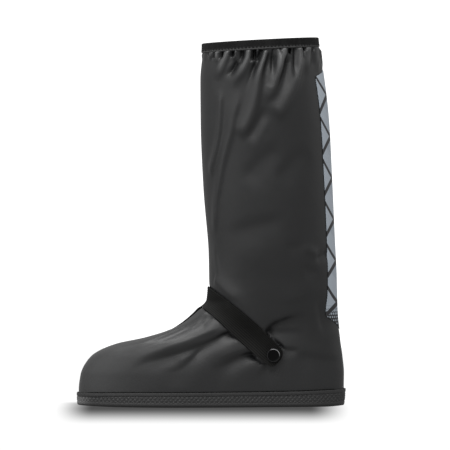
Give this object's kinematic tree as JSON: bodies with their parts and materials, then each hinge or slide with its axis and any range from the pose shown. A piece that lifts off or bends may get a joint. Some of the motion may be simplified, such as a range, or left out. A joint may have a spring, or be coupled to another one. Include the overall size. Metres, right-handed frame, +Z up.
{
  "type": "motorcycle shoe cover",
  "caption": "Tall waterproof overshoe with a moulded cup sole, an elastic instep strap on a snap, a reflective back strip and a gathered collar with folded tape.",
  "frame": {"origin": "on the floor, under the middle of the sole's length and of the shaft's width", "axes": "+Z up along the shaft, -X towards the toe, -Y towards the outer side of the foot"},
  "size_m": [0.2998, 0.116, 0.4096],
  "materials": {
    "coated_skin": "satin black waterproof coating with fine grain",
    "sole_rubber": "matte moulded rubber",
    "binding_tape": "woven tape, matte",
    "elastic_webbing": "woven elastic, matte",
    "snap_black": "black enamel with bright edge",
    "reflective_film": "grey reflective film with black lines"
  },
  "bodies": {
    "root": {"upper": "coated_skin", "outsole": "sole_rubber", "collar_binding": "binding_tape", "instep_strap": "elastic_webbing", "snap_cap": "snap_black", "snap_stud": "snap_black", "reflective_strip": "reflective_film"}
  },
  "joints": []
}
